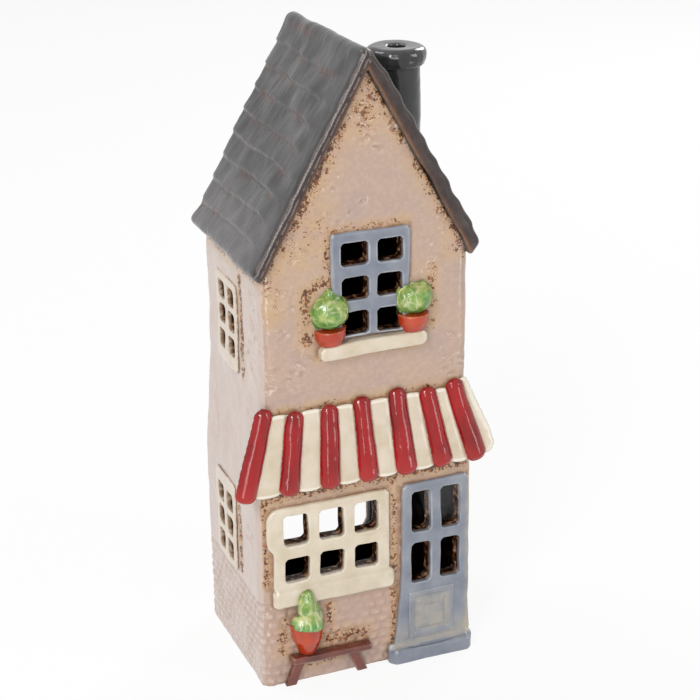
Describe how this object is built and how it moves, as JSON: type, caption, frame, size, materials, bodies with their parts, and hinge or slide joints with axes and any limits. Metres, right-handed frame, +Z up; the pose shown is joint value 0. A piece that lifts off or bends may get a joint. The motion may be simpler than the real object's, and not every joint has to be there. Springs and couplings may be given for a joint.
{
  "type": "pottery shop house",
  "caption": "Tall glazed pottery shop house with a slate roof, chimney, striped awning, shop window, door, flower pots and bench, open at the back for a tealight.",
  "frame": {"origin": "middle of the base, on the surface that the house stands on", "axes": "+Z up, -Y out of the shop front, +X to the right of someone who faces the front"},
  "size_m": [0.1002, 0.0802, 0.2401],
  "materials": {
    "wall_glaze": "glossy pinkish beige glaze that breaks to tan and rust at edges",
    "inner_glaze": "dark brown glaze",
    "slate_glaze": "glossy grey glaze",
    "charcoal_glaze": "glossy charcoal glaze",
    "cream_glaze": "glossy cream glaze",
    "red_glaze": "glossy red glaze",
    "blue_glaze": "glossy blue-grey glaze",
    "terracotta_glaze": "glossy orange-red glaze",
    "leaf_glaze": "glossy green glaze with pale veins",
    "bench_glaze": "glossy red-brown glaze"
  },
  "bodies": {
    "root": {"front_wall": "wall_glaze", "back_wall": "wall_glaze", "left_wall": "wall_glaze", "right_wall": "wall_glaze", "floor_slab": "inner_glaze", "roof_slab_left": "slate_glaze", "roof_slab_right": "slate_glaze", "chimney_stack": "charcoal_glaze", "chimney_cap": "charcoal_glaze", "awning_canopy": "cream_glaze", "awning_rib_1": "red_glaze", "awning_rib_2": "red_glaze", "awning_rib_3": "red_glaze", "awning_rib_4": "red_glaze", "awning_rib_5": "red_glaze", "awning_rib_6": "red_glaze", "awning_rib_7": "red_glaze", "upper_window_frame": "blue_glaze", "upper_window_sill": "cream_glaze", "upper_pot_left": "terracotta_glaze", "upper_pot_right": "terracotta_glaze", "upper_bush_left": "leaf_glaze", "upper_bush_right": "leaf_glaze", "shop_window_frame": "cream_glaze", "shop_window_sill": "cream_glaze", "shop_door": "blue_glaze", "door_panel": "blue_glaze", "door_step": "blue_glaze", "bench_seat": "bench_glaze", "bench_leg_left": "bench_glaze", "bench_leg_right": "bench_glaze", "bench_pot": "terracotta_glaze", "bench_plant": "leaf_glaze", "left_upper_window_frame": "cream_glaze", "left_lower_window_frame": "cream_glaze"}
  },
  "joints": []
}
